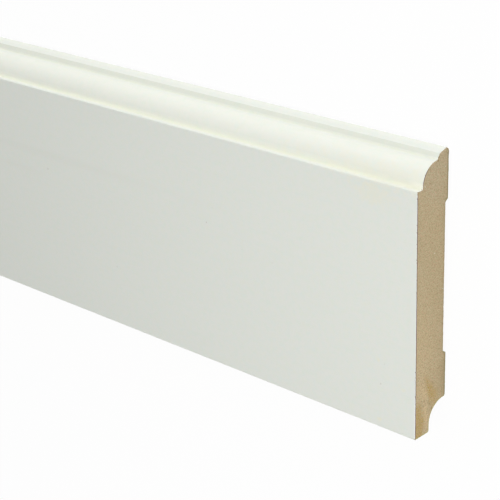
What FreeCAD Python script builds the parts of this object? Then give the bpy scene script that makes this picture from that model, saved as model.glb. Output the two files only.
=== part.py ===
"""Skirting board length: one moulded strip of MDF, stored face up on its back.

Millimetres. X runs along the length, Y across the height that the board has on a wall (floor edge at
-Y, moulded top edge at +Y) and Z through its thickness, from the back lands at Z = 0 up to the face.
The origin is at the centre of the back.

The section is one closed outline. From the floor edge it follows a rounded arris, the plain face, a
ledge that rounds into an ovolo, a quirk, a bead and a sloping top. The back has two flat lands with a
shallow relief between them, and a cove behind the floor edge that hides a cable.
"""
import FreeCAD, Part
import math
import os

import Sketcher

NODE = "skirting_board"

# Name, value in millimetres or degrees, meaning.
SIZES = [
    ("board_length", 2400.0, "length as sold"),
    ("board_height", 120.0, "floor edge to top edge"),
    ("board_thickness", 20.0, "back lands to face"),
    ("floor_arris_radius", 0.3, "rounding between floor edge and face"),
    ("arris_radius", 0.4, "rounding between face and ledge"),
    ("ledge_depth", 3.35, "face to the foot of the ovolo"),
    ("ledge_fillet", 1.4, "hollow between ledge and ovolo"),
    ("ovolo_step", 0.7, "ledge to the centre line of the ovolo"),
    ("ovolo_radius", 8.75, "quarter round above the ledge"),
    ("quirk_width", 0.2, "flat groove between ovolo and bead"),
    ("quirk_drop", 3.45, "top edge down to the quirk"),
    ("bead_pitch", 54.0, "degrees that the bead's front rises from level"),
    ("bead_radius", 0.3, "rounding of the bead"),
    ("top_pitch", 17.2, "degrees that the top rises towards the wall"),
    ("top_radius", 2.0, "rounding between top and back"),
    ("upper_land_width", 21.2, "top edge down to the relief"),
    ("relief_depth", 1.8, "depth of the relief between the lands"),
    ("shoulder_width", 1.2, "sloping side of the relief"),
    ("lower_land_width", 19.9, "relief down to the cove"),
    ("land_radius", 1.0, "rounding between lower land and cove"),
    ("cove_flat", 1.8, "back lands to the start of the cove's curve"),
    ("cove_radius", 8.9, "hollow of the cable cove"),
    ("foot_upright", 3.35, "floor edge up to the end of the cove's curve"),
    ("foot_radius", 1.0, "rounding at the foot's back corner"),
]

# How a sketch numbers the points of an edge, its own origin and the line of the back lands.
START, END, CENTRE = 1, 2, 3
ORIGIN = (-1, 1)
BACK_LINE = -1

HALF_HEIGHT = "sizes.board_height / 2"


class Outline:
    """A closed outline in a sketch, with each dimension bound to the sheet of sizes."""

    def __init__(self, sketch):
        self.sketch = sketch
        self.edges = {}

    def line(self, name, start, end, direction=None):
        segment = Part.LineSegment(FreeCAD.Vector(*start), FreeCAD.Vector(*end))
        self.edges[name] = self.sketch.addGeometry(segment, False)
        if direction:
            self.sketch.addConstraint(Sketcher.Constraint(direction, self.edges[name]))

    def arc(self, name, centre, radius, first_degrees, last_degrees):
        circle = Part.Circle(FreeCAD.Vector(*centre), FreeCAD.Vector(0, 0, 1), radius)
        arc = Part.ArcOfCircle(circle, math.radians(first_degrees), math.radians(last_degrees))
        self.edges[name] = self.sketch.addGeometry(arc, False)

    def join(self, kind, first, first_end, second, second_end):
        ends = (self.edges[first], first_end, self.edges[second], second_end)
        self.sketch.addConstraint(Sketcher.Constraint(kind, *ends))

    def at(self, edge, end):
        return (self.edges[edge], end)

    def lay_on_back(self, edge, end):
        on_back = Sketcher.Constraint("PointOnObject", *self.at(edge, end), BACK_LINE)
        self.sketch.addConstraint(on_back)

    def bind(self, name, expression, *constraint):
        index = self.sketch.addConstraint(Sketcher.Constraint(*constraint))
        self.sketch.renameConstraint(index, name)
        self.sketch.setExpression(f"Constraints.{name}", expression)

    def along(self, name, first, last, expression):
        """Distance in Y from the first point to the last."""
        span = self.sketch.getPoint(*last).x - self.sketch.getPoint(*first).x
        self.bind(name, expression, "DistanceX", *first, *last, span)

    def through(self, name, first, last, expression):
        """Distance in Z from the first point to the last."""
        span = self.sketch.getPoint(*last).y - self.sketch.getPoint(*first).y
        self.bind(name, expression, "DistanceY", *first, *last, span)

    def radius(self, edge, expression):
        radius = self.sketch.Geometry[self.edges[edge]].Radius
        self.bind(f"radius_of_{edge}", expression, "Radius", self.edges[edge], radius)

    def turn(self, edge, expression):
        """Angle of a line from +Y, anticlockwise, as it runs from its start to its end."""
        start = self.sketch.getPoint(*self.at(edge, START))
        end = self.sketch.getPoint(*self.at(edge, END))
        angle = math.atan2(end.y - start.y, end.x - start.x)
        self.bind(f"turn_of_{edge}", expression, "Angle", self.edges[edge], angle)


def make_sheet(document):
    sheet = document.addObject("Spreadsheet::Sheet", "sizes")
    for row, (name, value, meaning) in enumerate(SIZES, start=1):
        sheet.set(f"A{row}", meaning)
        sheet.set(f"B{row}", str(value))
        sheet.setAlias(f"B{row}", name)
    document.recompute()
    return sheet


def outward(degrees):
    """Unit normal of a sloping face, for its angle from +Y."""
    return FreeCAD.Vector(math.cos(math.radians(degrees)), math.sin(math.radians(degrees)))


def bead_centre(front_foot, front_normal, top_point, top_normal, radius):
    """Centre of the rounding that touches the bead's front and the sloping top."""
    front_reach = front_foot.dot(front_normal) - radius
    top_reach = top_point.dot(top_normal) - radius
    spread = front_normal.x * top_normal.y - front_normal.y * top_normal.x
    across = (front_reach * top_normal.y - top_reach * front_normal.y) / spread
    depth = (top_reach * front_normal.x - front_reach * top_normal.x) / spread
    return FreeCAD.Vector(across, depth)


def draw_face(outline, size):
    """Floor edge, face, ledge and ovolo, up to the quirk."""
    front = size["board_thickness"]
    floor = -size["board_height"] / 2
    quirk = size["board_height"] / 2 - size["quirk_drop"]
    ovolo_foot = quirk - size["ovolo_radius"]
    ledge = ovolo_foot - size["ovolo_step"]
    ovolo_back = front - size["ledge_depth"] - size["ovolo_radius"]
    arris = size["arris_radius"]
    fillet = size["ledge_fillet"]
    reach = math.sqrt((size["ovolo_radius"] + fillet) ** 2 - (fillet - size["ovolo_step"]) ** 2)
    hollow = (ledge + fillet, ovolo_back + reach)
    contact = math.degrees(math.atan2(reach, fillet - size["ovolo_step"]))
    low = size["floor_arris_radius"]
    foot_back = size["cove_flat"] + size["cove_radius"]
    outline.line("floor_edge", (floor, foot_back + size["foot_radius"]), (floor, front - low), "Vertical")
    outline.arc("floor_arris", (floor + low, front - low), low, 90, 180)
    outline.line("face", (floor + low, front), (ledge - arris, front), "Horizontal")
    outline.arc("arris", (ledge - arris, front - arris), arris, 0, 90)
    outline.line("ledge", (ledge, front - arris), (ledge, ovolo_back + reach), "Vertical")
    outline.arc("hollow", hollow, fillet, 180, 180 + contact)
    outline.arc("ovolo", (ovolo_foot, ovolo_back), size["ovolo_radius"], 0, contact)
    outline.line("quirk", (quirk, ovolo_back), (quirk, ovolo_back - size["quirk_width"]), "Vertical")


def draw_top(outline, size):
    """Bead, sloping top and the rounding into the back."""
    top = size["board_height"] / 2
    quirk_back = FreeCAD.Vector(outline.sketch.getPoint(*outline.at("quirk", END)))
    front_normal = outward(size["bead_pitch"])
    top_normal = outward(size["top_pitch"])
    top_centre = FreeCAD.Vector(top - size["top_radius"], size["top_radius"])
    top_start = top_centre + top_normal * size["top_radius"]
    centre = bead_centre(quirk_back, front_normal, top_start, top_normal, size["bead_radius"])
    bead_foot = centre + front_normal * size["bead_radius"]
    bead_top = centre + top_normal * size["bead_radius"]
    outline.line("bead_front", bead_foot, quirk_back)
    outline.arc("bead", centre, size["bead_radius"], size["top_pitch"], size["bead_pitch"])
    outline.line("top", top_start, bead_top)
    outline.arc("top_back", top_centre, size["top_radius"], -90, size["top_pitch"])


def draw_back(outline, size):
    """Lands, relief, cable cove and the back of the foot."""
    floor = -size["board_height"] / 2
    top = size["board_height"] / 2
    relief_top = top - size["upper_land_width"]
    relief = size["relief_depth"]
    shoulder = size["shoulder_width"]
    cove_centre = floor + size["foot_upright"]
    cove_top = cove_centre + size["cove_radius"]
    relief_foot = cove_top + size["lower_land_width"]
    cove_flat = size["cove_flat"]
    foot_back = cove_flat + size["cove_radius"]
    corner = size["land_radius"]
    foot = size["foot_radius"]
    outline.line("upper_land", (top - size["top_radius"], 0), (relief_top, 0), "Horizontal")
    outline.line("upper_shoulder", (relief_top, 0), (relief_top - shoulder, relief))
    relief_ends = ((relief_top - shoulder, relief), (relief_foot + shoulder, relief))
    outline.line("relief", *relief_ends, "Horizontal")
    outline.line("lower_shoulder", (relief_foot + shoulder, relief), (relief_foot, 0))
    outline.line("lower_land", (relief_foot, 0), (cove_top + corner, 0), "Horizontal")
    outline.arc("land_corner", (cove_top + corner, corner), corner, 180, 270)
    outline.line("cove_side", (cove_top, corner), (cove_top, cove_flat), "Vertical")
    outline.arc("cove", (cove_centre, cove_flat), size["cove_radius"], 0, 90)
    outline.line("foot_back", (cove_centre, foot_back), (floor + foot, foot_back), "Horizontal")
    outline.arc("foot_corner", (floor + foot, foot_back + foot), foot, 180, 270)


def join_edges(outline):
    outline.join("Tangent", "floor_edge", END, "floor_arris", END)
    outline.join("Tangent", "floor_arris", START, "face", START)
    outline.join("Tangent", "face", END, "arris", END)
    outline.join("Tangent", "arris", START, "ledge", START)
    outline.join("Tangent", "ledge", END, "hollow", START)
    outline.join("Tangent", "hollow", END, "ovolo", END)
    outline.join("Tangent", "ovolo", START, "quirk", START)
    outline.join("Coincident", "quirk", END, "bead_front", END)
    outline.join("Tangent", "bead_front", START, "bead", END)
    outline.join("Tangent", "bead", START, "top", END)
    outline.join("Tangent", "top", START, "top_back", END)
    outline.join("Tangent", "top_back", START, "upper_land", START)
    outline.join("Coincident", "upper_land", END, "upper_shoulder", START)
    outline.join("Coincident", "upper_shoulder", END, "relief", START)
    outline.join("Coincident", "relief", END, "lower_shoulder", START)
    outline.join("Coincident", "lower_shoulder", END, "lower_land", START)
    outline.join("Tangent", "lower_land", END, "land_corner", END)
    outline.join("Tangent", "land_corner", START, "cove_side", START)
    outline.join("Tangent", "cove_side", END, "cove", START)
    outline.join("Tangent", "cove", END, "foot_back", START)
    outline.join("Tangent", "foot_back", END, "foot_corner", END)
    outline.join("Tangent", "foot_corner", START, "floor_edge", START)


def bind_sizes(outline):
    at = outline.at
    outline.along("floor_place", at("floor_edge", END), ORIGIN, HALF_HEIGHT)
    outline.through("thickness", ORIGIN, at("face", START), "sizes.board_thickness")
    ovolo_depth = "sizes.ledge_depth + sizes.ovolo_radius"
    outline.through("ovolo_depth", at("ovolo", CENTRE), at("face", START), ovolo_depth)
    outline.along("ovolo_step", at("ledge", END), at("ovolo", CENTRE), "sizes.ovolo_step")
    outline.through("quirk_width", at("quirk", END), at("quirk", START), "sizes.quirk_width")
    outline.along("quirk_place", ORIGIN, at("quirk", START), f"{HALF_HEIGHT} - sizes.quirk_drop")
    outline.turn("bead_front", "(90 + sizes.bead_pitch) * 1 deg")
    outline.turn("top", "(90 + sizes.top_pitch) * 1 deg")
    outline.along("top_place", ORIGIN, at("top_back", CENTRE), f"{HALF_HEIGHT} - sizes.top_radius")
    outline.along("relief_place", ORIGIN, at("upper_land", END), f"{HALF_HEIGHT} - sizes.upper_land_width")
    upper, lower = "upper_shoulder", "lower_shoulder"
    outline.through("relief_depth", at(upper, START), at(upper, END), "sizes.relief_depth")
    outline.along("upper_width", at(upper, END), at(upper, START), "sizes.shoulder_width")
    outline.along("lower_width", at(lower, END), at(lower, START), "sizes.shoulder_width")
    land_span = (at("cove_side", START), at("lower_land", START))
    outline.along("lower_land_width", *land_span, "sizes.lower_land_width")
    outline.through("cove_flat", at("lower_land", START), at("cove_side", END), "sizes.cove_flat")
    outline.along("foot_upright", at("floor_edge", START), at("foot_back", START), "sizes.foot_upright")
    outline.radius("floor_arris", "sizes.floor_arris_radius")
    outline.radius("arris", "sizes.arris_radius")
    outline.radius("hollow", "sizes.ledge_fillet")
    outline.radius("ovolo", "sizes.ovolo_radius")
    outline.radius("bead", "sizes.bead_radius")
    outline.radius("top_back", "sizes.top_radius")
    outline.radius("land_corner", "sizes.land_radius")
    outline.radius("cove", "sizes.cove_radius")
    outline.radius("foot_corner", "sizes.foot_radius")
    outline.lay_on_back("upper_land", START)
    outline.lay_on_back("lower_land", START)


def make_board(document, sheet):
    size = {name: float(sheet.get(name)) for name, value, meaning in SIZES}
    body = document.addObject("PartDesign::Body", NODE)
    body.Label = NODE
    sketch = body.newObject("Sketcher::SketchObject", "section")
    end_plane = next(plane for plane in body.Origin.OriginFeatures if plane.Role == "YZ_Plane")
    sketch.AttachmentSupport = [(end_plane, "")]
    sketch.MapMode = "FlatFace"
    outline = Outline(sketch)
    draw_face(outline, size)
    draw_top(outline, size)
    draw_back(outline, size)
    join_edges(outline)
    bind_sizes(outline)
    pad = body.newObject("PartDesign::Pad", "length_of_board")
    pad.Profile = sketch
    pad.SideType = "Symmetric"
    pad.setExpression("Length", "sizes.board_length")
    body.Tip = pad
    document.recompute()
    return body


def check(document, bodies):
    for item in document.Objects:
        if "Invalid" in item.State or "Error" in item.State:
            raise RuntimeError(f"{item.Label} failed: {item.State}")
    for body in bodies:
        if body.Shape.isNull() or not body.Shape.isValid():
            raise RuntimeError(f"{body.Label} has no valid solid")


def main():
    document = FreeCAD.newDocument("skirting")
    bodies = [make_board(document, make_sheet(document))]
    check(document, bodies)
    os.makedirs("parts", exist_ok=True)
    for body in bodies:
        body.Shape.exportStep(f"parts/{body.Label}.step")
        print(f"{body.Label}: {body.Shape.Volume:.0f} mm3")


main()
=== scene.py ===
"""Looks of a skirting board length: fibreboard with a white facing film, lying face up on its back.

Metres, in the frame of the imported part: X along the length, Y from the floor edge to the moulded top
edge, Z from the back up to the face.
"""
import math
import random
from collections import namedtuple

import bpy
from bpy.props import FloatProperty, FloatVectorProperty, IntProperty, PointerProperty
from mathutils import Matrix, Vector, kdtree, noise
from mathutils.geometry import delaunay_2d_cdt, intersect_point_line


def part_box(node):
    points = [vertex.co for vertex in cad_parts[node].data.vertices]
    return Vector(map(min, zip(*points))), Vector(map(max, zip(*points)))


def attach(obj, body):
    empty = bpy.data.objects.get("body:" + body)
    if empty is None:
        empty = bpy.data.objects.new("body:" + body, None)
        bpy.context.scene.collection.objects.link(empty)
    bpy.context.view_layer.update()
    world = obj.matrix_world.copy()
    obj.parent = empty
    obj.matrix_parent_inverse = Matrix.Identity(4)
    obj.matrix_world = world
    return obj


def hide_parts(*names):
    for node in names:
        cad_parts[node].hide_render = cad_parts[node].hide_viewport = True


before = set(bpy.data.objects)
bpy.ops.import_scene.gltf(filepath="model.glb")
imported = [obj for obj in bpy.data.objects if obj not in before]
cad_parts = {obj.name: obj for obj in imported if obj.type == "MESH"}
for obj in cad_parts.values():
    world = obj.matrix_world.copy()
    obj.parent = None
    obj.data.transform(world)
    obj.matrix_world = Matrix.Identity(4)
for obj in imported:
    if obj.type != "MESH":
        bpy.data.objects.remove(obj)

bl_info = {
    "name": "Skirting board length",
    "version": (1, 0, 0),
    "blender": (4, 5, 0),
    "location": "3D View > Sidebar > Skirting",
    "description": "Builds a filmed fibreboard skirting board and the studio it is shown in",
    "category": "Mesh",
}

NODE = "skirting_board"
MM = 0.001
LOWEST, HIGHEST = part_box(NODE)
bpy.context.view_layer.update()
RIGHT, LEFT = 1, -1
FILM, SAWN, MILLED = range(3)
QUARTER, HALF = math.pi / 2, math.pi

SAME_POINT = 0.01 * MM
MERGE_GAP = 0.0001 * MM
INSIDE_ONLY = 1
SHARP_ANGLE = math.radians(38)
# Distances in millimetres from a sawn end to the rings beside it.
NEAR_END = (0, 0.12, 0.28, 0.5, 0.85, 1.4, 2.5, 5, 9, 17, 33)
CHIPS_REACH = 2 * MM
CRUMBLE_REACH = 0.6 * MM
FILM_UNEVEN = 0.01 * MM
CHIP_AT_END = 0.7
FLOOR_GAP = 0.05 * MM
WHITE = (1.0, 1.0, 1.0, 1.0)


def srgb(red, green, blue):
    """A colour picked on a screen, from 0 to 255, as the linear colour that shaders take."""
    def linear(level):
        share_of_white = level / 255
        if share_of_white <= 0.04045:
            return share_of_white / 12.92
        return ((share_of_white + 0.055) / 1.055) ** 2.4
    return (linear(red), linear(green), linear(blue))


def length(name, description, default):
    return FloatProperty(name=name, description=description, default=default, min=0.0,
                         subtype="DISTANCE", unit="LENGTH", precision=5)


def angle(name, description, degrees):
    return FloatProperty(name=name, description=description, default=math.radians(degrees),
                         subtype="ANGLE", unit="ROTATION")


def colour(name, description, default):
    return FloatVectorProperty(name=name, description=description, default=srgb(*default),
                               subtype="COLOR", size=3, min=0.0, max=1.0)


def factor(name, description, default):
    return FloatProperty(name=name, description=description, default=default, min=0.0,
                         subtype="FACTOR", soft_max=1.0)


class BoardSection(bpy.types.PropertyGroup):
    """Sizes of the moulded section"""
    floor_arris: length("Floor arris", "Rounding between floor edge and face", 0.3 * MM)
    arris_radius: length("Arris", "Rounding between face and ledge", 0.4 * MM)
    ledge_depth: length("Ledge", "Face to the foot of the ovolo", 3.35 * MM)
    ledge_fillet: length("Ledge fillet", "Film bridging the ledge's inner corner", 1.4 * MM)
    ovolo_step: length("Ovolo step", "Ledge to the centre line of the ovolo", 0.7 * MM)
    ovolo_radius: length("Ovolo", "Quarter round above the ledge", 8.75 * MM)
    quirk_width: length("Quirk", "Flat groove between ovolo and bead", 0.2 * MM)
    quirk_drop: length("Quirk drop", "Top edge down to the quirk", 3.45 * MM)
    quirk_fillet: length("Quirk fillet", "Film bridging the quirk's inner corner", 0.8 * MM)
    bead_pitch: angle("Bead pitch", "Rise of the bead's front from level", 54.0)
    bead_radius: length("Bead", "Rounding of the bead", 0.3 * MM)
    top_pitch: angle("Top pitch", "Rise of the top towards the wall", 17.2)
    top_radius: length("Top back", "Rounding between top and back", 2.0 * MM)
    upper_land: length("Upper land", "Top edge down to the relief", 21.2 * MM)
    relief_depth: length("Relief", "Depth of the relief between the lands", 1.8 * MM)
    shoulder_width: length("Shoulder", "Sloping side of the relief", 1.2 * MM)
    lower_land: length("Lower land", "Relief down to the cove", 19.9 * MM)
    land_radius: length("Land corner", "Rounding between lower land and cove", 1.0 * MM)
    cove_flat: length("Cove flat", "Back lands to the start of the cove's curve", 1.8 * MM)
    cove_radius: length("Cove", "Hollow of the cable cove", 8.9 * MM)
    foot_upright: length("Foot", "Floor edge up to the end of the cove's curve", 3.35 * MM)
    foot_radius: length("Foot corner", "Rounding at the foot's back corner", 1.0 * MM)
    film_thickness: length("Film", "Thickness of the facing film", 0.16 * MM)
    film_stretched: length("Stretched film", "Its thickness on the bead's front", 0.05 * MM)
    film_lap: length("Film lap", "Film turned over the top onto the back", 2.6 * MM)


class BoardRelief(bpy.types.PropertyGroup):
    """Fineness of the mesh and the marks that the saw leaves"""
    face_pitch: length("Face pitch", "Spacing of the outline's points on flats", 0.6 * MM)
    curve_pitch: length("Curve pitch", "Spacing of the outline's points on roundings", 0.25 * MM)
    back_pitch: length("Back pitch", "Spacing of the outline's points on the back", 0.9 * MM)
    station_gap: length("Station gap", "Longest stretch of board between two rings", 60.0 * MM)
    end_pitch: length("End pitch", "Spacing of the points on a sawn end", 0.5 * MM)
    end_relief: length("End relief", "Depth of the sawn surface's unevenness", 0.07 * MM)
    film_proud: length("Film proud", "Film left standing past the sawn fibreboard", 0.03 * MM)
    pit_count: IntProperty(name="Pits", description="Torn-out pits on each sawn end", default=46, min=0)
    pit_radius: length("Pit radius", "Largest pit torn out by the saw", 0.55 * MM)
    pit_depth: length("Pit depth", "Depth of the largest pit", 0.28 * MM)
    nick_count: IntProperty(name="Nicks", description="Chips in the film along each sawn end",
                            default=40, min=0)
    nick_radius: length("Nick radius", "Reach of the largest chip in the film", 0.45 * MM)
    nick_depth: length("Nick depth", "Depth of the largest chip in the film", 0.13 * MM)
    corner_chip: length("Corner chip", "Reach of the chip at the right end's floor corner", 1.3 * MM)
    crumble: length("Crumble", "Fibreboard broken away along its bare sawn edges", 0.12 * MM)
    seed: IntProperty(name="Seed", description="Start of the random draws", default=7)


class BoardColours(bpy.types.PropertyGroup):
    """Colours of the film and of the fibreboard"""
    film: colour("Film", "Facing film", (231, 233, 226))
    film_green: colour("Film green", "Tint of the film's greener grain", (251, 255, 255))
    film_cream: colour("Film cream", "Tint of the film's creamier grain", (254, 255, 251))
    # Painted light: a lighter, creamier film tone over the ovolo and the top, where the top light falls
    ovolo_painted_light: colour("Film ovolo", "Film over the ovolo and the top", (236, 237, 228))
    # Painted light: a lighter, yellower film tone on the ledge, which faces the top light
    ledge_painted_light: colour("Film ledge", "Film over the ledge", (240, 240, 223))
    # Painted light: a lighter tone in the ledge's hollow that lifts the shade falling there
    hollow_painted_light: colour("Film hollow", "Thick film in the ledge's hollow", (246, 246, 236))
    # Painted shade: a darker, yellower tone in the quirk and the ledge's inner corner, where shade falls
    quirk_painted_shade: colour("Film quirk", "Film in the quirk and the ledge's inner corner", (231, 233, 215))
    # Painted shade: a darker tone on the bead's front, where the ovolo shades it
    bead_painted_shade: colour("Film bead", "Thin film on the bead's front", (224, 226, 215))
    film_cut: colour("Film cut", "Bright edge where the saw cut the film", (248, 250, 244))
    # Dust pressed into the film; the same tone also lays a painted shade along the floor arris
    film_dust_and_shade: colour("Film speck", "Dust pressed into the film", (170, 160, 138))
    film_yellow: colour("Film yellow", "Yellowed spots of the film", (236, 233, 208))
    sawn: colour("Sawn fibreboard", "Body of a sawn end", (169, 152, 118))
    sawn_dark: colour("Sawn dark", "Shadowed fibres of a sawn end", (136, 117, 80))
    sawn_light: colour("Sawn light", "Lifted fibres of a sawn end", (197, 183, 156))
    sawn_rosy: colour("Sawn rosy", "Reddish fibre bundles", (186, 148, 122))
    sawn_olive: colour("Sawn olive", "Greenish fibre bundles", (154, 150, 111))
    sawn_golden: colour("Sawn golden", "Resin-rich patches by the foot", (161, 134, 71))
    sawn_pale: colour("Sawn pale", "Paler band of fibre by the foot", (193, 170, 131))
    sawn_grey: colour("Sawn grey", "Greyer fibre towards the top", (168, 155, 129))
    glue: colour("Glue line", "Glue between film and fibreboard", (98, 76, 84))
    skin: colour("Pressed skin", "Dense fibreboard at the back", (126, 111, 78))
    edge_olive: colour("Edge olive", "Waxed fibre at the cove and the floor edge", (161, 157, 96))
    edge_green: colour("Edge green", "Last fibres at the edges of the back", (136, 138, 94))
    milled: colour("Milled fibreboard", "Machined back of the board", (189, 168, 131))
    milled_dark: colour("Milled dark", "Darker fibres of the machined back", (164, 142, 106))


class Studio(bpy.types.PropertyGroup):
    """Camera, floor and lamps"""
    lens: FloatProperty(name="Lens", description="Focal length in millimetres", default=113.483, min=1.0)
    eye: FloatVectorProperty(name="Camera place", description="From the right end's lower face corner",
                             default=(0.33424, 0.32063, 0.44667), subtype="TRANSLATION", unit="LENGTH",
                             precision=5)
    gaze: FloatVectorProperty(name="Camera turn", description="Camera rotation about X, Y and Z",
                              default=[math.radians(turn) for turn in (-24.6426, 42.5707, -2.4783)],
                              subtype="EULER", unit="ROTATION")
    ambient: factor("Ambient", "Light from all round", 0.3)
    lamp_colour: colour("Lamps", "Light of the softboxes", (255, 255, 255))
    floor_size: length("Floor size", "Side of the floor", 14.0)
    floor_glow: factor("Floor glow", "Share of the floor's brightness that shadows leave", 0.96)
    floor_colour: colour("Floor", "Pale floor", (248, 248, 247))


# Centre and reach are in millimetres, and the turn is about X. The core is the share of the reach
# that has the full strength.
Mark = namedtuple("Mark", "centre reach turn core strength")
# Place and aim are in metres from the right end's lower face corner, and the power is in watts.
Softbox = namedtuple("Softbox", "name place aim size power")


def ray(turn):
    return Vector((math.cos(turn), math.sin(turn)))


class Trace:
    """Points of an outline in the plane of the section, as (Y, Z), with the film's depth at each."""

    def __init__(self, start, film=0.0):
        self.points = [start]
        self.depths = [film]
        self.film = film

    def add(self, point, extra=0.0):
        if (point - self.points[-1]).length > SAME_POINT:
            self.points.append(point)
            self.depths.append(self.film + extra)

    def run(self, end, pitch):
        start = self.points[-1]
        count = max(1, math.ceil((end - start).length / pitch))
        for step in range(1, count + 1):
            self.add(start.lerp(end, step / count))

    def arc(self, centre, radius, first, last, pitch):
        """Angles are in radians, anticlockwise from +Y."""
        count = max(3, math.ceil(abs(last - first) * radius / pitch))
        for step in range(count + 1):
            self.add(centre + radius * ray(first + (last - first) * step / count))

    def bridge(self, centre, radius, first, last, pitch):
        """Film rounding off an inner corner, and deeper where it spans the corner."""
        count = max(3, math.ceil(abs(last - first) * radius / pitch))
        for step in range(count + 1):
            turned = first + (last - first) * step / count
            reach = max(math.cos(turned - first), math.cos(turned - last))
            self.add(centre + radius * ray(turned), (radius + self.film) / reach - radius - self.film)


def bead_centre(size, quirk_back, top_tangent):
    """Centre of the rounding that touches the bead's front and the sloping top."""
    front, top = ray(size.bead_pitch), ray(size.top_pitch)
    front_reach = quirk_back.dot(front) - size.bead_radius
    top_reach = top_tangent.dot(top) - size.bead_radius
    spread = front.x * top.y - front.y * top.x
    return Vector(((front_reach * top.y - top_reach * front.y) / spread,
                   (top_reach * front.x - front_reach * top.x) / spread))


def fillet_centre(foot, facing, radius, circle, circle_radius):
    """Centre of the fillet between a circle and the straight side that starts at foot beside it."""
    front = ray(facing)
    start = foot + front * radius
    away = start - circle
    along = Vector((front.y, -front.x))
    if away.dot(along) < 0:
        along.negate()
    half = away.dot(along)
    reach = circle_radius + radius
    return start + along * (math.sqrt(half * half - away.length_squared + reach * reach) - half)


def heading(way):
    return math.atan2(way.y, way.x)


def film_outline(size, relief):
    """Outer line of the film, from the floor edge up the face and over the top to its lap."""
    floor, top, face = LOWEST.y, HIGHEST.y, HIGHEST.z
    flat, curve, fine = relief.face_pitch, relief.curve_pitch, relief.curve_pitch / 2
    quirk = top - size.quirk_drop
    ledge_back = face - size.ledge_depth
    ovolo = Vector((quirk - size.ovolo_radius, ledge_back - size.ovolo_radius))
    ledge = ovolo.x - size.ovolo_step
    quirk_back = Vector((quirk, ovolo.y - size.quirk_width))
    top_centre = Vector((top - size.top_radius, size.top_radius))
    top_tangent = top_centre + ray(size.top_pitch) * size.top_radius
    bead = bead_centre(size, quirk_back, top_tangent)
    circle = (ovolo, size.ovolo_radius)
    hollow = fillet_centre(Vector((ledge, ledge_back)), 0.0, size.ledge_fillet, *circle)
    groove = fillet_centre(quirk_back, size.bead_pitch, size.quirk_fillet, *circle)
    ovolo_start, ovolo_end = heading(hollow - ovolo), heading(groove - ovolo)
    corner, radius = Vector((floor, face)), size.floor_arris
    trace = Trace(corner - Vector((0, radius)), size.film_thickness)
    trace.arc(corner + Vector((radius, -radius)), radius, HALF, QUARTER, fine / 2)
    corner, radius = Vector((ledge, face)), size.arris_radius
    trace.run(corner - Vector((radius, 0)), flat)
    trace.arc(corner - Vector((radius, radius)), radius, QUARTER, 0, fine)
    trace.run(Vector((ledge, hollow.y)), curve)
    trace.bridge(hollow, size.ledge_fillet, HALF, HALF + ovolo_start, fine)
    trace.arc(ovolo, size.ovolo_radius, ovolo_start, ovolo_end, curve)
    trace.bridge(groove, size.quirk_fillet, HALF + ovolo_end, HALF + size.bead_pitch, fine)
    trace.film = size.film_stretched
    trace.run(bead + ray(size.bead_pitch) * size.bead_radius, curve)
    trace.film = size.film_thickness
    trace.arc(bead, size.bead_radius, size.bead_pitch, size.top_pitch, fine)
    trace.run(top_tangent, curve)
    trace.arc(top_centre, size.top_radius, size.top_pitch, -QUARTER, fine)
    trace.run(Vector((top - size.film_lap, 0)), curve)
    return trace


def bare_outline(size, relief):
    """Line of the bare fibreboard, from the edge of the film's lap down the back and round the foot."""
    floor, top, film = LOWEST.y, HIGHEST.y, size.film_thickness
    flat, curve, fine = relief.back_pitch, relief.curve_pitch, relief.curve_pitch / 2
    relief_top = top - size.upper_land
    cove = Vector((floor + size.foot_upright, size.cove_flat))
    cove_top = cove.x + size.cove_radius
    relief_foot = cove_top + size.lower_land
    trace = Trace(Vector((top - size.film_lap, film)))
    trace.run(Vector((relief_top, film)), flat)
    trace.run(Vector((relief_top - size.shoulder_width, size.relief_depth)), curve)
    trace.run(Vector((relief_foot + size.shoulder_width, size.relief_depth)), flat)
    trace.run(Vector((relief_foot, 0)), curve)
    corner, radius = Vector((cove_top, 0)), size.land_radius
    trace.run(corner + Vector((radius, 0)), flat)
    trace.arc(corner + Vector((radius, radius)), radius, HALF + QUARTER, HALF, fine)
    trace.run(Vector((cove_top, size.cove_flat)), curve)
    trace.arc(cove, size.cove_radius, 0, QUARTER, curve)
    corner, radius = Vector((floor, size.cove_flat + size.cove_radius)), size.foot_radius
    trace.run(corner + Vector((radius, 0)), curve)
    trace.arc(corner + Vector((radius, radius)), radius, HALF + QUARTER, HALF, fine)
    trace.run(Vector((floor, HIGHEST.z - size.floor_arris - size.film_thickness)), curve)
    return trace.points


def normals_of(points):
    """Outward unit normals of an open line that keeps the board on its right."""
    found = []
    for index in range(len(points)):
        before = points[max(index - 1, 0)]
        after = points[min(index + 1, len(points) - 1)]
        run = (after - before).normalized()
        found.append(Vector((-run.y, run.x)))
    return found


class EdgeLine:
    """An open line on a sawn end, for distances from it."""

    def __init__(self, points):
        self.points = points
        self.tree = kdtree.KDTree(len(points))
        for index, point in enumerate(points):
            self.tree.insert(point.to_3d(), index)
        self.tree.balance()

    def distance(self, point):
        nearest = self.tree.find(point.to_3d())[1]
        found = []
        for start in (nearest - 1, nearest):
            if 0 <= start < len(self.points) - 1:
                foot, along = intersect_point_line(point, self.points[start], self.points[start + 1])
                held = self.points[start].lerp(self.points[start + 1], min(1.0, max(0.0, along)))
                found.append((point - held).length)
        return min(found)


def stations(relief):
    """Places along X of the rings, dense near the sawn ends."""
    near = [step * MM for step in NEAR_END]
    middle = HIGHEST.x - near[-1]
    count = math.ceil(2 * middle / relief.station_gap)
    right = [HIGHEST.x - step for step in near[:-1]]
    inner = [middle - 2 * middle * step / count for step in range(count + 1)]
    return right + inner + [-place for place in reversed(right)]


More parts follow.
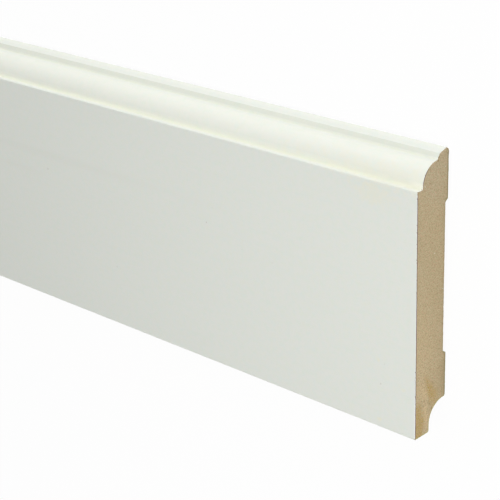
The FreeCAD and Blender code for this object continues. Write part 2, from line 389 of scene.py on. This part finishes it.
class SawnEnd:
    """What the saw left at one end: low relief, torn pits, chips in the film and crumbled bare edges."""

    def __init__(self, side, film, relief):
        self.side = side
        self.relief = relief
        draw = random.Random(relief.seed + side)
        self.shift = draw.uniform(100, 200)
        self.pits = []
        for _ in range(relief.pit_count):
            size = draw.uniform(0.3, 1.0)
            centre = Vector((draw.uniform(LOWEST.y, HIGHEST.y), draw.uniform(LOWEST.z, HIGHEST.z)))
            self.pits.append((centre, relief.pit_radius * size, relief.pit_depth * size))
        self.nicks = []
        for _ in range(relief.nick_count):
            size = draw.uniform(0.3, 1.0) ** 1.5
            self.nicks.append((draw.choice(film), relief.nick_radius * size, relief.nick_depth * size))
        if side == RIGHT:
            self.nicks.append((film[0], relief.corner_chip, relief.nick_depth))

    def rough(self, point, frequency):
        """Smooth noise from about -1 to 1, with frequency in waves a millimetre."""
        place = point / MM * frequency
        return noise.noise(Vector((place.x, place.y, self.shift * frequency)))

    def pit(self, point):
        """How far into a torn pit a point lies, from 0 at its rim to 1, and how deep it is."""
        inside, depth = 0.0, 0.0
        for centre, radius, deepest in self.pits:
            away = (point - centre).length / radius
            if away < 1:
                inside = max(inside, 1 - away)
                depth = max(depth, deepest * (1 - away * away))
        return inside, depth

    def sawn_depth(self, point, inner):
        """Depth of the fibreboard behind the end plane, with pits where inner is 1."""
        uneven = 0.5 + 0.35 * self.rough(point, 0.35) + 0.3 * self.rough(point, 1.4)
        fibres = 0.25 * self.rough(point, 2.9)
        pitted = self.pit(point)[1] * inner
        return self.relief.film_proud + self.relief.end_relief * max(0.0, uneven + fibres) + pitted

    def chip(self, point, from_end):
        """Depth of the film's chips at a point of the outline, and its share of a full chip."""
        deepest, chipped = 0.0, 0.0
        for centre, radius, depth in self.nicks:
            away = (point - centre).length / radius
            back = from_end / radius
            inside = 1 - away * away - back * back
            if inside > 0:
                deepest = max(deepest, depth * inside)
                chipped = max(chipped, inside)
        return deepest, chipped

    def crumbled(self, point, from_end):
        """Depth of the bare edge's broken fibres."""
        fading = max(0.0, 1 - from_end / CRUMBLE_REACH)
        return max(0.0, 0.45 + 0.9 * self.rough(point, 0.9)) * self.relief.crumble * fading


class BoardMesh:
    """Vertices, faces and surface marks of the whole board."""

    def __init__(self, size, relief):
        self.size, self.relief = size, relief
        self.vertices, self.faces, self.surfaces = [], [], []
        self.marks = {"to_film": {}, "to_bare": {}, "torn": {}, "cut": {}}
        facing = film_outline(size, relief)
        self.film, self.film_depths = facing.points, facing.depths
        self.film_normals = normals_of(self.film)
        self.bare = bare_outline(size, relief)
        self.bare_normals = normals_of(self.bare)
        self.ends = {side: SawnEnd(side, self.film, relief) for side in (RIGHT, LEFT)}

    def add_vertex(self, x, point):
        self.vertices.append((x, point.x, point.y))
        return len(self.vertices) - 1

    def add_face(self, corners, surface, flip=False):
        self.faces.append(tuple(reversed(corners)) if flip else tuple(corners))
        self.surfaces.append(surface)

    def add_ring(self, x):
        side = RIGHT if x > 0 else LEFT
        end, from_end = self.ends[side], HIGHEST.x - abs(x)
        at_end = from_end == 0
        near = from_end < CHIPS_REACH
        ring = []
        for point, normal in zip(self.film, self.film_normals):
            depth, chipped = end.chip(point, from_end) if near else (0.0, 0.0)
            uneven = FILM_UNEVEN * (1 + end.rough(point, 0.8))
            back = uneven + depth * CHIP_AT_END if at_end else 0.0
            ring.append(self.add_vertex(x - side * back, point - normal * depth))
            self.marks["torn"][ring[-1]] = chipped
            self.marks["cut"][ring[-1]] = float(at_end)
        for index, (point, normal) in enumerate(zip(self.bare, self.bare_normals)):
            held = index in (0, len(self.bare) - 1)
            loose = end.crumbled(point, from_end) if near and not held else 0.0
            back = end.sawn_depth(point, 0.0) if at_end else 0.0
            ring.append(self.add_vertex(x - side * back, point - normal * loose))
        return ring

    def sweep(self):
        rings = [self.add_ring(x) for x in stations(self.relief)]
        film_count, ring_size = len(self.film), len(rings[0])
        for ahead, behind in zip(rings, rings[1:]):
            for index in range(ring_size):
                follow = (index + 1) % ring_size
                surface = FILM if index < film_count or follow == 0 else MILLED
                self.add_face((ahead[index], ahead[follow], behind[follow], behind[index]), surface)
        return {RIGHT: rings[0], LEFT: rings[-1]}

    def cap(self, side, ring):
        """Closes one sawn end: the cut edge of the film, then the fibreboard inside it."""
        flip, plane, end = side == LEFT, side * HIGHEST.x, self.ends[side]
        film_ring, bare_ring = ring[:len(self.film)], ring[len(self.film):]
        inner_line = [point - normal * depth for point, normal, depth
                      in zip(self.film, self.film_normals, self.film_depths)]
        inner_ring = [bare_ring[-1]]
        for point in inner_line[1:-1]:
            inner_ring.append(self.add_vertex(plane - side * end.sawn_depth(point, 0.0), point))
        inner_ring.append(bare_ring[0])
        for index in range(len(inner_ring) - 1):
            corners = (inner_ring[index], inner_ring[index + 1], film_ring[index + 1], film_ring[index])
            self.add_face(corners, FILM, flip)
        rim = inner_ring + bare_ring[1:-1]
        rim_points = [Vector(self.vertices[index][1:]) for index in rim]
        edges = [(index, (index + 1) % len(rim)) for index in range(len(rim))]
        scattered = rim_points + self.end_points(rim_points)
        filled = delaunay_2d_cdt(scattered, edges, [], INSIDE_ONLY, MERGE_GAP)
        placed, _, triangles, origins, _, _ = filled
        film_edge, bare_edge = EdgeLine(inner_line), EdgeLine(self.bare)
        numbers = []
        for point, origin in zip(placed, origins):
            if origin and origin[0] < len(rim):
                number = rim[origin[0]]
            else:
                number = self.add_vertex(plane - side * end.sawn_depth(point, 1.0), point)
            self.marks["to_film"][number] = film_edge.distance(point)
            self.marks["to_bare"][number] = bare_edge.distance(point)
            self.marks["torn"][number] = end.pit(point)[0]
            numbers.append(number)
        for triangle in triangles:
            self.add_face([numbers[index] for index in triangle], SAWN, flip)

    def end_points(self, rim):
        """Points inside the rim of a sawn end, in rows with a little scatter."""
        pitch = self.relief.end_pitch
        draw = random.Random(self.relief.seed)
        margin, scatter = 0.7 * pitch, 0.22 * pitch
        found = []
        for row in range(1, math.floor((HIGHEST.y - LOWEST.y) / pitch)):
            across = LOWEST.y + row * pitch
            crossings = []
            for start, stop in zip(rim, rim[1:] + rim[:1]):
                if (start.x - across) * (stop.x - across) < 0:
                    share = (across - start.x) / (stop.x - start.x)
                    crossings.append(start.y + (stop.y - start.y) * share)
            if len(crossings) < 2:
                continue
            low, high = min(crossings) + margin, max(crossings) - margin
            count = max(1, math.floor((high - low) / pitch))
            for column in range(count + 1):
                moved = Vector((draw.uniform(-scatter, scatter), draw.uniform(-scatter, scatter)))
                found.append(Vector((across, low + (high - low) * column / count)) + moved)
        return found

    def build(self, name, materials):
        for side, ring in self.sweep().items():
            self.cap(side, ring)
        mesh = bpy.data.meshes.new(name)
        mesh.from_pydata(self.vertices, [], self.faces)
        mesh.polygons.foreach_set("material_index", self.surfaces)
        mesh.polygons.foreach_set("use_smooth", [True] * len(self.faces))
        for title, values in self.marks.items():
            elsewhere = 1.0 if title in ("to_film", "to_bare") else 0.0
            attribute = mesh.attributes.new(title, "FLOAT", "POINT")
            listed = [values.get(number, elsewhere) for number in range(len(self.vertices))]
            attribute.data.foreach_set("value", listed)
        for material in materials:
            mesh.materials.append(material)
        mesh.set_sharp_from_angle(angle=SHARP_ANGLE)
        mesh.validate()
        board = bpy.data.objects.new(name, mesh)
        bpy.context.scene.collection.objects.link(board)
        return board


class Socket:
    """Output of a shader node. Sums of these, and of these with numbers, add Math nodes."""

    def __init__(self, shader, output):
        self.shader = shader
        self.output = output

    def other(self, name):
        """Another output of the same node."""
        return Socket(self.shader, self.output.node.outputs[name])

    def maths(self, operation, *values):
        return self.shader.node("ShaderNodeMath", {"operation": operation}, dict(enumerate(values)))

    def __add__(self, other):
        return self.maths("ADD", self, other)

    def __radd__(self, other):
        return self.maths("ADD", other, self)

    def __sub__(self, other):
        return self.maths("SUBTRACT", self, other)

    def __rsub__(self, other):
        return self.maths("SUBTRACT", other, self)

    def __mul__(self, other):
        return self.maths("MULTIPLY", self, other)

    def __rmul__(self, other):
        return self.maths("MULTIPLY", other, self)


class Shader:
    """A node tree that is being filled."""

    def __init__(self, tree):
        self.tree = tree
        self.tree.nodes.clear()

    def node(self, kind, settings=None, values=None, output=0):
        made = self.tree.nodes.new(kind)
        for name, value in (settings or {}).items():
            setattr(made, name, value)
        for key, value in (values or {}).items():
            if isinstance(value, Socket):
                self.tree.links.new(value.output, made.inputs[key])
            else:
                made.inputs[key].default_value = value
        return Socket(self, made.outputs[output] if made.outputs else None)

    def place(self):
        """The place on the board in millimetres."""
        metres = self.node("ShaderNodeTexCoord", output="Object")
        values = {"Vector": metres, "Scale": 1 / MM}
        return self.node("ShaderNodeVectorMath", {"operation": "SCALE"}, values)

    def stretch(self, place, factors):
        """A factor below 1 draws a pattern out along that axis."""
        return self.node("ShaderNodeVectorMath", {"operation": "MULTIPLY"}, {0: place, 1: factors})

    def noise(self, place, frequency, detail=2.0, rough=0.5):
        """frequency is in waves a millimetre."""
        values = {"Vector": place, "Scale": frequency, "Detail": detail, "Roughness": rough}
        return self.node("ShaderNodeTexNoise", None, values)

    def band(self, value, start, stop, low=0.0, high=1.0):
        """Goes smoothly from low at start to high at stop, which may lie below start."""
        values = {"Value": value, "From Min": start, "From Max": stop, "To Min": low, "To Max": high}
        return self.node("ShaderNodeMapRange", {"interpolation_type": "SMOOTHSTEP"}, values)

    def blend(self, share, first, second, mode="MIX"):
        settings = {"data_type": "RGBA", "blend_type": mode}
        values = {0: share}
        for key, value in ((6, first), (7, second)):
            values[key] = value if isinstance(value, Socket) else (*value, 1.0)
        return self.node("ShaderNodeMix", settings, values, output=2)

    def specks(self, place, frequency, size, rarity):
        """Scattered dots: size is a dot's share of a cell, and rarity the share of cells left bare."""
        cells = self.node("ShaderNodeTexVoronoi", None, {"Vector": place, "Scale": frequency})
        drawn = self.node("ShaderNodeSeparateColor", None, {"Color": cells.other("Color")}, output="Red")
        dot = self.band(cells.other("Distance"), size, size * 0.5)
        return dot * self.band(drawn, rarity, rarity + 0.01)

    def attribute(self, name):
        return self.node("ShaderNodeAttribute", {"attribute_name": name}, output="Fac")

    def spot(self, place, mark, ragged):
        """The mark's strength in the middle of an ellipsoid, falling to 0 at its skin."""
        values = {"Vector": place, "Location": mark.centre, "Scale": mark.reach,
                  "Rotation": (mark.turn, 0.0, 0.0)}
        local = self.node("ShaderNodeMapping", {"vector_type": "TEXTURE"}, values)
        away = self.node("ShaderNodeVectorMath", {"operation": "LENGTH"}, {0: local}, output="Value")
        return self.band(away + ragged, 1.0, mark.core) * mark.strength

    def paint(self, base, place, marks, ragged, tone):
        """Lays the tone over the base inside each mark."""
        for mark in marks:
            base = self.blend(self.spot(place, mark, ragged), base, tone)
        return base

    def bump(self, height, depth):
        return self.node("ShaderNodeBump", None, {"Height": height, "Distance": depth})

    def surface(self, base, roughness, normal, specular):
        values = {"Base Color": base, "Roughness": roughness, "Normal": normal,
                  "Specular IOR Level": specular}
        shaded = self.node("ShaderNodeBsdfPrincipled", None, values)
        self.node("ShaderNodeOutputMaterial", None, {"Surface": shaded})


def new_material(name):
    material = bpy.data.materials.new(name)
    material.use_nodes = True
    return material, Shader(material.node_tree)


def beside_end(inward, up_the_face, behind_face):
    """A place at the right end in millimetres, from its lower face corner."""
    return (HIGHEST.x / MM - inward, LOWEST.y / MM + up_the_face, HIGHEST.z / MM - behind_face)


def on_section(up_the_face, behind_face):
    """The same place of the section, halfway along the board."""
    return (0.0, *beside_end(0, up_the_face, behind_face)[1:])


# A reach along X that keeps a tint's strength even from end to end.
ALL_ALONG = 100000
# Places up Y between which the edge of the lower land gives way to that of the cove.
COVE_EDGE = (LOWEST.y / MM + 13.4, LOWEST.y / MM + 12.6)
# Painted light and shade on the film, laid along the whole length: lighter ovolo, top and ledge, darker
# quirk, ledge corner, bead front and floor arris.
FILM_PAINTED_SHADING = (
    # Painted light on the ovolo and over the top's back rounding.
    ("ovolo_painted_light", Mark(on_section(113.5, 6.5), (ALL_ALONG, 5.7, 5.7), 0.0, 0.7, 1.0)),
    ("ovolo_painted_light", Mark(on_section(120.0, 18.5), (ALL_ALONG, 1.8, 3.6), 0.0, 0.5, 0.4)),
    # Painted light on the ledge.
    ("ledge_painted_light", Mark(on_section(107.8, 2.6), (ALL_ALONG, 2.0, 2.4), 0.0, 0.0, 0.65)),
    # Painted light lifting the shade in the ledge's hollow.
    ("hollow_painted_light", Mark(on_section(108.7, 3.8), (ALL_ALONG, 1.4, 1.4), 0.0, 0.2, 0.5)),
    # Painted shade in the ledge's inner corner, then in the quirk.
    ("quirk_painted_shade", Mark(on_section(107.4, 2.7), (ALL_ALONG, 1.0, 1.2), 0.0, 0.1, 0.7)),
    ("quirk_painted_shade", Mark(on_section(116.9, 12.1), (ALL_ALONG, 1.4, 1.4), 0.0, 0.0, 0.6)),
    # Painted shade on the bead's front.
    ("bead_painted_shade", Mark(on_section(117.98, 13.35), (ALL_ALONG, 1.2, 0.68), -0.628, 0.6, 1.0)),
    # Painted shade along the floor arris, in the dust colour.
    ("film_dust_and_shade", Mark(on_section(0.0, 0.1), (ALL_ALONG, 0.5, 0.5), 0.0, 0.0, 0.08)),
)
FILM_BRIGHT = (
    Mark(beside_end(0, 5, 0), (0.5, 22, 3), 0.0, 0.6, 1.0),
    Mark(beside_end(0, 55, 0), (0.45, 70, 3), 0.0, 0.5, 0.25),
)
FILM_YELLOWING = (
    Mark(beside_end(21, 101.7, 0), (13, 6, 3), 0.0, 0.2, 0.3),
    Mark(beside_end(18.7, 30.5, 0), (1.6, 1.6, 3), 0.0, 0.2, 0.5),
    Mark(beside_end(18.0, 3.7, 0), (2.2, 1.2, 3), 0.0, 0.2, 0.5),
    Mark(beside_end(6.0, 21.0, 0), (1.5, 1.5, 3), 0.0, 0.2, 0.3),
    Mark(beside_end(0, 109, 4), (75, 7, 8), 0.0, 0.3, 0.22),
)
FILM_SMEAR = (
    Mark(beside_end(215, 75.2, 0), (135, 3.6, 3), 0.0, 0.0, 0.035),
    Mark(beside_end(238, 65.0, 0), (26, 2.6, 3), 0.0, 0.0, 0.03),
)
FILM_DIRT = (
    Mark(beside_end(17.5, 20, 0), (0.5, 0.6, 3), 0.0, 0.4, 0.28),
    Mark(beside_end(15.6, 29.5, 0), (0.4, 0.5, 3), 0.0, 0.4, 0.14),
    Mark(beside_end(113, 66.7, 0), (0.55, 0.5, 3), 0.0, 0.5, 0.3),
    Mark(beside_end(173, 29.5, 0), (0.6, 0.5, 3), 0.0, 0.5, 0.2),
    Mark(beside_end(217.5, 68, 0), (0.9, 0.6, 3), 0.0, 0.5, 0.2),
    Mark(beside_end(75, 58, 0), (0.8, 0.6, 3), 0.0, 0.5, 0.06),
)
SAWN_TINTS = (
    ("sawn_pale", Mark(beside_end(0, 34, 2), (9, 38, 12), 0.0, 0.0, 0.45)),
    ("sawn_grey", Mark(beside_end(0, 114, 14), (9, 22, 20), 0.0, 0.3, 0.6)),
    ("sawn_pale", Mark(beside_end(0, 9, 6.8), (9, 10, 2.2), 0.12, 0.3, 0.9)),
    ("sawn_pale", Mark(beside_end(0, 21, 3.6), (9, 8, 2.6), 0.3, 0.3, 0.4)),
    ("sawn_golden", Mark(beside_end(0, 19.0, 10.4), (9, 9.5, 3.2), 0.54, 0.3, 1.0)),
    ("sawn_golden", Mark(beside_end(0, 15.5, 11.5), (9, 4.5, 3.2), 0.5, 0.3, 0.7)),
    ("sawn_golden", Mark(beside_end(0, 4.5, 2.2), (9, 13.0, 4.7), 0.0, 0.6, 1.0)),
    ("sawn_pale", Mark(beside_end(0, 18, 6.4), (9, 9, 2.2), 0.1, 0.3, 0.6)),
    ("skin", Mark(beside_end(0, 19, 19.5), (9, 16, 6), 0.0, 0.0, 0.3)),
)
SAWN_SPOTS = (
    Mark(beside_end(0, 116.0, 13.0), (9, 0.6, 0.8), 0.0, 0.2, 1.0),
    Mark(beside_end(0, 117.3, 13.4), (9, 0.5, 0.6), 0.0, 0.2, 0.8),
    Mark(beside_end(0, 10.2, 11.0), (9, 1.0, 0.6), 0.6, 0.2, 0.9),
    Mark(beside_end(0, 12.6, 9.6), (9, 0.5, 0.6), 0.0, 0.2, 0.6),
    Mark(beside_end(0, 22.0, 11.4), (9, 0.6, 0.7), 0.0, 0.2, 0.7),
)
GLUE_FADING = (
    Mark(beside_end(0, 0, 0), (9, 1.6, 1.6), 0.0, 0.3, 0.6),
    Mark(beside_end(0, 118, 13), (9, 9, 9), 0.0, 0.6, 1.0),
    Mark(beside_end(0, 107.6, 2.0), (9, 3.5, 2.9), 0.0, 0.5, 0.8),
)


def film_material(colours):
    """Satin white facing film: fine two-tone grain, marks of handling, dust and chips, with painted light
    and shade over the moulding and along the floor arris.
    """
    material, shader = new_material("white_facing_film")
    place = shader.place()
    mottle = shader.noise(place, 0.09, detail=3)
    grain = shader.noise(place, 1.4, detail=2)
    green = shader.noise(place, 0.35, detail=4, rough=0.7)
    cream = shader.noise(shader.stretch(place, (1.0, 1.0, 1.2)), 0.41, detail=4, rough=0.7)
    drawn = shader.noise(shader.stretch(place, (0.02, 1.0, 1.0)), 0.9, detail=2)
    base = colours.film
    # Painted light and shade of the moulding and the floor arris.
    for tone, mark in FILM_PAINTED_SHADING:
        base = shader.blend(shader.spot(place, mark, 0.0), base, getattr(colours, tone))
    base = shader.blend(shader.band(green, 0.4, 0.7), base, colours.film_green, "MULTIPLY")
    base = shader.blend(shader.band(cream, 0.4, 0.7), base, colours.film_cream, "MULTIPLY")
    base = shader.blend(shader.band(drawn, 0.5, 0.75) * 0.01, base, colours.film_dust_and_shade)
    ragged = green * 2.2 - 1.1
    base = shader.paint(base, place, FILM_YELLOWING, ragged, colours.film_yellow)
    base = shader.paint(base, place, FILM_SMEAR, ragged * 0.7, colours.film_dust_and_shade)
    base = shader.paint(base, place, FILM_BRIGHT, 0.0, colours.film_cut)
    base = shader.blend(shader.attribute("cut"), base, colours.film_cut)
    uneven = (grain - 0.5) * 0.8
    base = shader.paint(base, place, FILM_DIRT, uneven, colours.film_dust_and_shade)
    base = shader.blend(shader.specks(place, 0.11, 0.035, 0.8) * 0.15, base, colours.film_dust_and_shade)
    torn = shader.band(shader.attribute("torn"), 0.3, 0.9)
    base = shader.blend(torn, base, colours.sawn_dark)
    roughness = shader.band(mottle, 0.3, 0.7, 0.54, 0.62) + torn * 0.3
    peel = shader.noise(place, 0.45, detail=3, rough=0.6)
    height = peel * 0.8 + drawn * 0.2
    shader.surface(base, roughness, shader.bump(height, 0.008 * MM), 0.5)
    return material


def sawn_material(colours):
    """Sawn end of the fibreboard: resin patches, speckled fibres, glue line and dense back."""
    material, shader = new_material("sawn_fibreboard")
    place = shader.place()
    speckle = shader.noise(place, 1.4, detail=3, rough=0.65)
    fine = shader.noise(place, 3.6, detail=3, rough=0.7)
    cloud = shader.noise(place, 0.16, detail=2)
    rosy = shader.noise(shader.stretch(place, (1.0, 1.0, 1.3)), 1.2, detail=2, rough=0.6)
    olive = shader.noise(shader.stretch(place, (1.0, 1.2, 1.0)), 1.6, detail=2, rough=0.6)
    up = shader.node("ShaderNodeSeparateXYZ", None, {0: place}, output="Y")
    depth = up.other("Z")
    base = shader.blend(shader.band(cloud, 0.4, 0.7) * 0.12, colours.sawn, colours.sawn_light)
    base = shader.blend(shader.band(depth, 8.0, 0.5) * 0.22, base, colours.skin)
    ragged = cloud * 1.2 + speckle * 1.4 - 1.3
    for tone, mark in SAWN_TINTS:
        base = shader.blend(shader.spot(place, mark, ragged), base, getattr(colours, tone))
    base = shader.blend(shader.band(speckle, 0.5, 0.62) * 0.7, base, colours.sawn_dark)
    base = shader.blend(shader.band(fine, 0.5, 0.6) * 0.7, base, colours.sawn_light)
    base = shader.blend(shader.band(rosy, 0.55, 0.64) * 0.75, base, colours.sawn_rosy)
    base = shader.blend(shader.band(olive, 0.54, 0.64) * 0.75, base, colours.sawn_olive)
    base = shader.paint(base, place, SAWN_SPOTS, 0.0, colours.sawn_dark)
    base = shader.blend(shader.specks(place, 0.32, 0.1, 0.86) * 0.6, base, colours.sawn_dark)
    base = shader.blend(shader.specks(place, 0.21, 0.05, 0.82) * 0.8, base, colours.film)
    to_film = shader.attribute("to_film")
    to_bare = shader.attribute("to_bare")
    wander = (speckle - 0.5) * (0.6 * MM)
    at_cove = shader.band(up, *COVE_EDGE)
    at_land = (1.0 - at_cove) * shader.band(depth, 1.9, 1.2, 0.25)
    edge = shader.band(to_bare + wander, 1.3 * MM, 0.2 * MM)
    base = shader.blend(edge * at_land * 0.85, base, colours.skin)
    last = shader.band(to_bare + wander * 0.5, 0.5 * MM, 0.25 * MM)
    base = shader.blend(last * at_land * 0.85, base, colours.edge_green)
    edge = shader.band(to_bare + wander, 0.75 * MM, 0.3 * MM)
    base = shader.blend(edge * at_cove * 0.7, base, colours.edge_olive)
    glued = shader.band(to_film + wander * 0.4, 0.6 * MM, 0.3 * MM)
    for mark in GLUE_FADING:
        glued = glued * (1.0 - shader.spot(place, mark, 0.0))
    base = shader.blend(glued * 0.9, base, colours.glue)
    torn = shader.band(shader.attribute("torn"), 0.0, 0.6)
    base = shader.blend(torn * 0.55, base, colours.sawn_dark)
    roughness = shader.band(speckle, 0.3, 0.7, 0.78, 0.92)
    height = speckle * 0.6 + fine * 0.4
    shader.surface(base, roughness, shader.bump(height, 0.12 * MM), 0.25)
    return material


def milled_material(colours):
    """Machined back of the fibreboard: short fibres and cutter lines along the length."""
    material, shader = new_material("milled_fibreboard")
    place = shader.place()
    fibres = shader.noise(shader.stretch(place, (0.5, 1.0, 1.0)), 1.6, detail=4, rough=0.65)
    lines = shader.noise(shader.stretch(place, (0.004, 1.0, 1.0)), 1.1, detail=3, rough=0.6)
    cloud = shader.noise(shader.stretch(place, (0.2, 1.0, 1.0)), 0.05, detail=3)
    chatter = shader.noise(shader.stretch(place, (1.0, 0.02, 0.02)), 0.55, detail=1)
    base = shader.blend(shader.band(fibres, 0.45, 0.75) * 0.5, colours.milled, colours.milled_dark)
    base = shader.blend(shader.band(lines, 0.5, 0.7) * 0.4, base, colours.milled_dark)
    base = shader.blend(shader.band(cloud, 0.4, 0.7) * 0.5, base, colours.sawn_light)
    base = shader.blend(shader.band(chatter, 0.55, 0.7) * 0.15, base, colours.sawn_light)
    base = shader.blend(shader.specks(place, 0.25, 0.12, 0.85) * 0.5, base, colours.sawn_dark)
    roughness = shader.band(fibres, 0.3, 0.7, 0.68, 0.82)
    height = fibres * 0.4 + lines * 0.5 + chatter * 0.1
    shader.surface(base, roughness, shader.bump(height, 0.06 * MM), 0.3)
    return material


class SKIRTING_OT_board(bpy.types.Operator):
    """Build the filmed board in place of the plain solid"""
    bl_idname = "skirting.board"
    bl_label = "Board"

    def execute(self, context):
        scene = context.scene
        colours = scene.skirting_colours
        materials = [film_material(colours), sawn_material(colours), milled_material(colours)]
        board = BoardMesh(scene.skirting_section, scene.skirting_relief).build("filmed_board", materials)
        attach(board, "root")
        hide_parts(NODE)
        return {"FINISHED"}


SOFTBOXES = (
    Softbox("top_softbox", (-0.3, 1.3, 0.17), (-0.25, 0.07, 0.0), (1.4, 0.3), 9.0),
    Softbox("far_top_softbox", (-1.8, 0.6, 0.1), (-1.8, 0.07, 0.0), (1.2, 0.2), 2.0),
    Softbox("floor_edge_softbox", (-1.4, -1.3, 0.1), (-1.4, 0.0, 0.0), (2.4, 0.2), 7.0),
    Softbox("end_softbox", (0.9, -0.2, 0.35), (-0.1, 0.06, 0.0), (0.5, 0.4), 5.5),
    Softbox("far_end_softbox", (-3.3, -0.2, 0.35), (-2.3, 0.06, 0.0), (0.5, 0.4), 5.5),
    Softbox("face_softbox", (0.05, 0.1, 0.5), (0.0, 0.07, 0.0), (0.4, 0.4), 1.03),
    Softbox("far_face_softbox", (-1.7, 0.07, 0.4), (-1.7, 0.07, 0.0), (1.6, 0.4), 1.4),
)


def aim(place, target):
    return (target - place).to_track_quat("-Z", "Y").to_euler()


class SKIRTING_OT_stage(bpy.types.Operator):
    """Set up the floor, the softboxes and the camera"""
    bl_idname = "skirting.stage"
    bl_label = "Stage"

    def execute(self, context):
        studio = context.scene.skirting_studio
        corner = Vector((HIGHEST.x, LOWEST.y, HIGHEST.z))
        self.light_room(context.scene, studio)
        self.lay_floor(context.scene, studio)
        for softbox in SOFTBOXES:
            self.hang(context.scene, studio, softbox, corner)
        self.place_camera(context.scene, studio, corner)
        context.scene.view_settings.view_transform = "Standard"
        return {"FINISHED"}

    def seen(self, shader):
        """1 for the rays that should meet a white studio: from the camera, a reflection or glass."""
        camera = shader.node("ShaderNodeLightPath", output="Is Camera Ray")
        glossy, glass = camera.other("Is Glossy Ray"), camera.other("Is Transmission Ray")
        return camera.maths("MAXIMUM", camera, camera.maths("MAXIMUM", glossy, glass))

    def light_room(self, scene, studio):
        world = bpy.data.worlds.new("studio")
        scene.world = world
        world.use_nodes = True
        shader = Shader(world.node_tree)
        dim = shader.node("ShaderNodeBackground", None, {"Color": WHITE, "Strength": studio.ambient})
        bright = shader.node("ShaderNodeBackground", None, {"Color": WHITE, "Strength": 1.0})
        mixed = shader.node("ShaderNodeMixShader", None, {0: self.seen(shader), 1: dim, 2: bright})
        shader.node("ShaderNodeOutputWorld", None, {"Surface": mixed})

    def lay_floor(self, scene, studio):
        half = studio.floor_size / 2
        below = LOWEST.z - FLOOR_GAP
        mesh = bpy.data.meshes.new("floor")
        corners = [(-half, -half, below), (half, -half, below), (half, half, below), (-half, half, below)]
        mesh.from_pydata(corners, [], [(0, 1, 2, 3)])
        material, shader = new_material("pale_floor")
        matt = shader.node("ShaderNodeBsdfDiffuse", None, {"Color": (*studio.floor_colour, 1.0)})
        glow = shader.node("ShaderNodeEmission", None, {"Color": WHITE, "Strength": 1.0})
        share = self.seen(shader) * studio.floor_glow
        mixed = shader.node("ShaderNodeMixShader", None, {0: share, 1: matt, 2: glow})
        shader.node("ShaderNodeOutputMaterial", None, {"Surface": mixed})
        mesh.materials.append(material)
        floor = bpy.data.objects.new("floor", mesh)
        scene.collection.objects.link(floor)

    def hang(self, scene, studio, softbox, corner):
        lamp = bpy.data.lights.new(softbox.name, "AREA")
        lamp.shape = "RECTANGLE"
        lamp.size, lamp.size_y = softbox.size
        lamp.energy = softbox.power
        lamp.color = studio.lamp_colour
        hung = bpy.data.objects.new(softbox.name, lamp)
        hung.location = corner + Vector(softbox.place)
        hung.rotation_euler = aim(hung.location, corner + Vector(softbox.aim))
        hung.visible_camera = False
        scene.collection.objects.link(hung)

    def place_camera(self, scene, studio, corner):
        lens = bpy.data.cameras.new("camera")
        lens.lens = studio.lens
        camera = bpy.data.objects.new("camera", lens)
        camera.location = corner + Vector(studio.eye)
        camera.rotation_euler = studio.gaze
        scene.collection.objects.link(camera)
        scene.camera = camera


class SKIRTING_PT_panel(bpy.types.Panel):
    """Skirting board tools"""
    bl_idname = "SKIRTING_PT_panel"
    bl_label = "Skirting board"
    bl_space_type = "VIEW_3D"
    bl_region_type = "UI"
    bl_category = "Skirting"

    def draw(self, context):
        for operator in OPERATORS:
            self.layout.operator(operator.bl_idname)
        for holder in GROUPS:
            group = getattr(context.scene, holder)
            for name in group.bl_rna.properties.keys():
                if name not in ("rna_type", "name"):
                    self.layout.prop(group, name)


GROUPS = {
    "skirting_section": BoardSection,
    "skirting_relief": BoardRelief,
    "skirting_colours": BoardColours,
    "skirting_studio": Studio,
}
OPERATORS = (SKIRTING_OT_board, SKIRTING_OT_stage)


def register():
    for group in (*GROUPS.values(), *OPERATORS, SKIRTING_PT_panel):
        bpy.utils.register_class(group)
    for holder, group in GROUPS.items():
        setattr(bpy.types.Scene, holder, PointerProperty(type=group))


def unregister():
    for holder in GROUPS:
        delattr(bpy.types.Scene, holder)
    for group in (SKIRTING_PT_panel, *OPERATORS, *GROUPS.values()):
        bpy.utils.unregister_class(group)


def main():
    register()
    bpy.ops.skirting.board()
    bpy.ops.skirting.stage()


if __name__ == "__main__":
    main()
